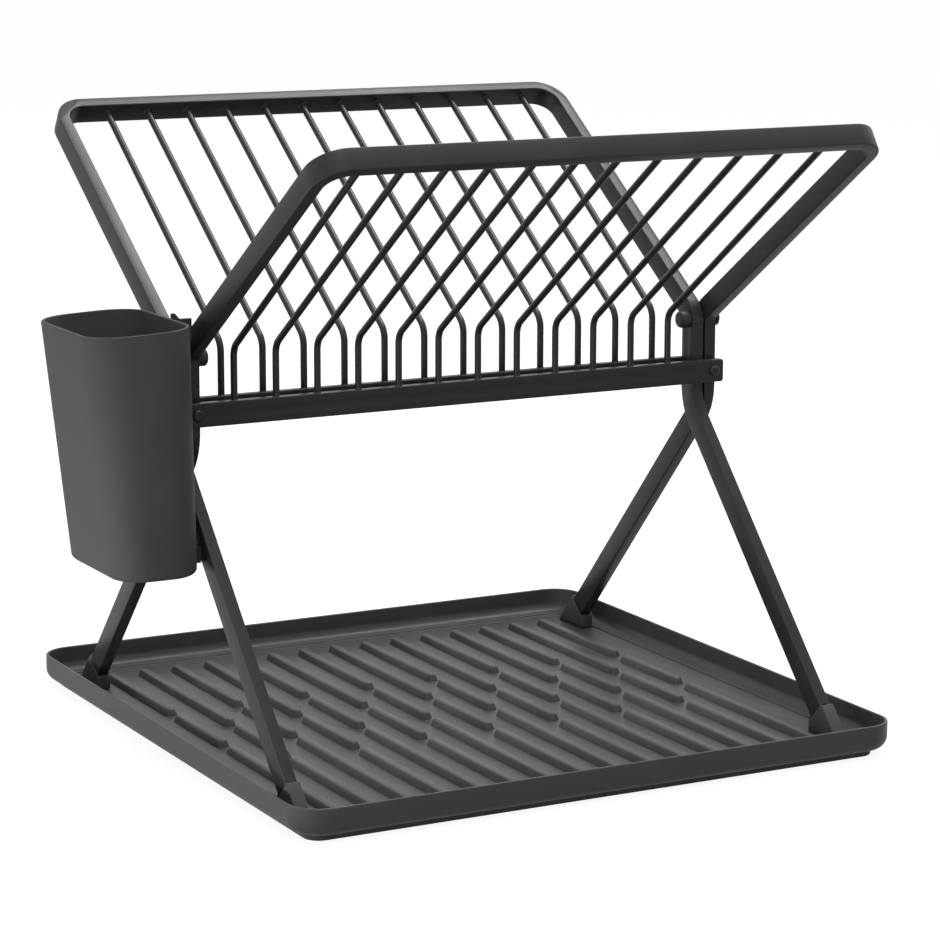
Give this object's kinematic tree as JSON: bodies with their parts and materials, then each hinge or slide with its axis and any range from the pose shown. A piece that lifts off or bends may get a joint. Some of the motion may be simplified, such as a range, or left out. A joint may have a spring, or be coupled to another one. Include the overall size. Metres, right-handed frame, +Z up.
{
  "type": "foldable dish rack",
  "caption": "Charcoal foldable dish rack: crossed bent-bar frames with plate wires, hanging cutlery cup and ribbed drip tray.",
  "frame": {"origin": "centre of the drip tray's underside, on the worktop", "axes": "+X to the user's right along the tray's front edge, +Y towards the back, +Z up; the cutlery cup hangs at -X"},
  "size_m": [0.5063, 0.452, 0.4218],
  "materials": {
    "frame_paint": "satin",
    "rail_paint": "satin",
    "wire_paint": "satin",
    "pin_paint": "satin",
    "washer_plastic": "matte",
    "tray_plastic": "matte",
    "cup_plastic": "matte",
    "shoe_plastic": "matte"
  },
  "bodies": {
    "tray": {"drip_tray": "tray_plastic"},
    "hub": {"pivot_pin_left": "pin_paint", "pivot_washer_left": "washer_plastic", "pivot_knob_left": "pin_paint", "pivot_pin_right": "pin_paint", "pivot_washer_right": "washer_plastic", "pivot_knob_right": "pin_paint"},
    "front_wing": {"front_wing_frame": "frame_paint", "front_rail": "rail_paint", "front_wire_01": "wire_paint", "front_wire_02": "wire_paint", "front_wire_03": "wire_paint", "front_wire_04": "wire_paint", "front_wire_05": "wire_paint", "front_wire_06": "wire_paint", "front_wire_07": "wire_paint", "front_wire_08": "wire_paint", "front_wire_09": "wire_paint", "front_wire_10": "wire_paint", "front_wire_11": "wire_paint", "front_wire_12": "wire_paint", "front_rail_rivet_left": "pin_paint", "front_rail_rivet_right": "pin_paint", "back_left_shoe": "shoe_plastic", "back_right_shoe": "shoe_plastic"},
    "back_wing": {"back_wing_frame": "frame_paint", "back_rail": "rail_paint", "back_wire_01": "wire_paint", "back_wire_02": "wire_paint", "back_wire_03": "wire_paint", "back_wire_04": "wire_paint", "back_wire_05": "wire_paint", "back_wire_06": "wire_paint", "back_wire_07": "wire_paint", "back_wire_08": "wire_paint", "back_wire_09": "wire_paint", "back_wire_10": "wire_paint", "back_wire_11": "wire_paint", "back_wire_12": "wire_paint", "back_rail_rivet_left": "pin_paint", "back_rail_rivet_right": "pin_paint", "front_left_shoe": "shoe_plastic", "front_right_shoe": "shoe_plastic"},
    "cup": {"cutlery_cup": "cup_plastic"}
  },
  "joints": [
    {"name": "rack_rise", "type": "slide", "parent": "tray", "child": "hub", "axis": [0, 0, 1], "range_m": [0, 0.184]},
    {"name": "fold", "type": "hinge", "parent": "hub", "child": "front_wing", "pos_m": [0, 0, 0.2675], "axis": [-1, 0, 0], "range_deg": [0, 42]},
    {"name": "fold_back", "type": "hinge", "parent": "hub", "child": "back_wing", "pos_m": [0, 0, 0.2675], "axis": [1, 0, 0], "range_deg": [0, 42]},
    {"name": "cup_lift", "type": "slide", "parent": "hub", "child": "cup", "axis": [0, 0, 1], "range_m": [0, 0.05]}
  ],
  "couplings": [
    {"joint": "rack_rise", "follows": "fold", "m_per_rad": 0.25},
    {"joint": "fold_back", "follows": "fold", "ratio": 1}
  ]
}
